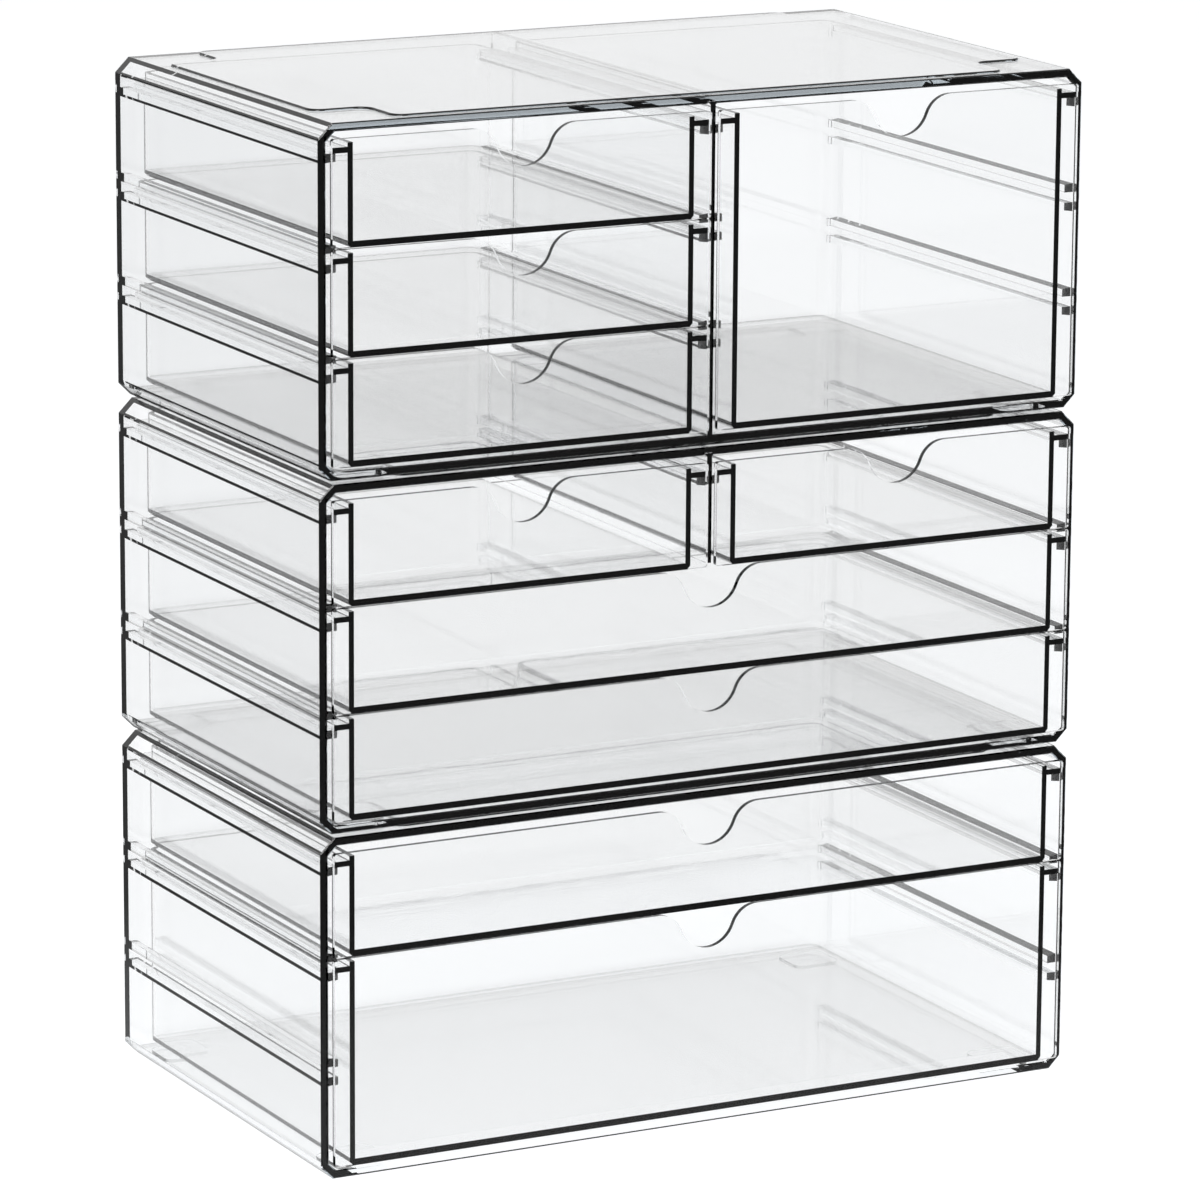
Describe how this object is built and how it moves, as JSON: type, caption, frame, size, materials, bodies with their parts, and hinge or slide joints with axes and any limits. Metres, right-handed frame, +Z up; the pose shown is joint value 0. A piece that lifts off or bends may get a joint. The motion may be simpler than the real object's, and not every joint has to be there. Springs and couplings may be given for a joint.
{
  "type": "storage drawers",
  "caption": "Stack of clear moulded storage cases with chamfered edges, dividers and pull-out trays that hang on side flanges and have round finger notches.",
  "frame": {"origin": "on the surface that the stack stands on, under the middle of its overall width and depth", "axes": "+X to the right seen from the front, +Y from the drawer fronts to the closed back, +Z up"},
  "size_m": [0.24, 0.1388, 0.2977],
  "materials": {
    "clear_case": "clear polished moulded styrene, 2.4 mm walls",
    "clear_divider": "clear polished moulded styrene, 1.6 mm panel",
    "clear_drawer": "clear polished moulded styrene, 1.6 mm walls"
  },
  "bodies": {
    "bottom": {"bottom_case": "clear_case"},
    "middle": {"middle_case": "clear_case", "middle_divider": "clear_divider"},
    "top": {"top_case": "clear_case", "top_divider": "clear_divider"},
    "bottom_shallow_drawer": {"bottom_shallow_drawer": "clear_drawer"},
    "bottom_deep_drawer": {"bottom_deep_drawer": "clear_drawer"},
    "middle_left_drawer": {"middle_left_drawer": "clear_drawer"},
    "middle_right_drawer": {"middle_right_drawer": "clear_drawer"},
    "middle_upper_wide_drawer": {"middle_upper_wide_drawer": "clear_drawer"},
    "middle_lower_wide_drawer": {"middle_lower_wide_drawer": "clear_drawer"},
    "top_left_upper_drawer": {"top_left_upper_drawer": "clear_drawer"},
    "top_left_middle_drawer": {"top_left_middle_drawer": "clear_drawer"},
    "top_left_lower_drawer": {"top_left_lower_drawer": "clear_drawer"},
    "top_right_tall_drawer": {"top_right_tall_drawer": "clear_drawer"}
  },
  "joints": [
    {"name": "middle_case_lift", "type": "slide", "parent": "bottom", "child": "middle", "axis": [0, 0, 1], "range_m": [0, 0.04]},
    {"name": "top_case_lift", "type": "slide", "parent": "middle", "child": "top", "axis": [0, 0, 1], "range_m": [0, 0.04]},
    {"name": "bottom_shallow_drawer_slide", "type": "slide", "parent": "bottom", "child": "bottom_shallow_drawer", "axis": [0, -1, 0], "range_m": [0, 0.11]},
    {"name": "bottom_deep_drawer_slide", "type": "slide", "parent": "bottom", "child": "bottom_deep_drawer", "axis": [0, -1, 0], "range_m": [0, 0.11]},
    {"name": "middle_left_drawer_slide", "type": "slide", "parent": "middle", "child": "middle_left_drawer", "axis": [0, -1, 0], "range_m": [0, 0.11]},
    {"name": "middle_right_drawer_slide", "type": "slide", "parent": "middle", "child": "middle_right_drawer", "axis": [0, -1, 0], "range_m": [0, 0.11]},
    {"name": "middle_upper_wide_drawer_slide", "type": "slide", "parent": "middle", "child": "middle_upper_wide_drawer", "axis": [0, -1, 0], "range_m": [0, 0.11]},
    {"name": "middle_lower_wide_drawer_slide", "type": "slide", "parent": "middle", "child": "middle_lower_wide_drawer", "axis": [0, -1, 0], "range_m": [0, 0.11]},
    {"name": "top_left_upper_drawer_slide", "type": "slide", "parent": "top", "child": "top_left_upper_drawer", "axis": [0, -1, 0], "range_m": [0, 0.11]},
    {"name": "top_left_middle_drawer_slide", "type": "slide", "parent": "top", "child": "top_left_middle_drawer", "axis": [0, -1, 0], "range_m": [0, 0.11]},
    {"name": "top_left_lower_drawer_slide", "type": "slide", "parent": "top", "child": "top_left_lower_drawer", "axis": [0, -1, 0], "range_m": [0, 0.11]},
    {"name": "top_right_tall_drawer_slide", "type": "slide", "parent": "top", "child": "top_right_tall_drawer", "axis": [0, -1, 0], "range_m": [0, 0.11]}
  ]
}
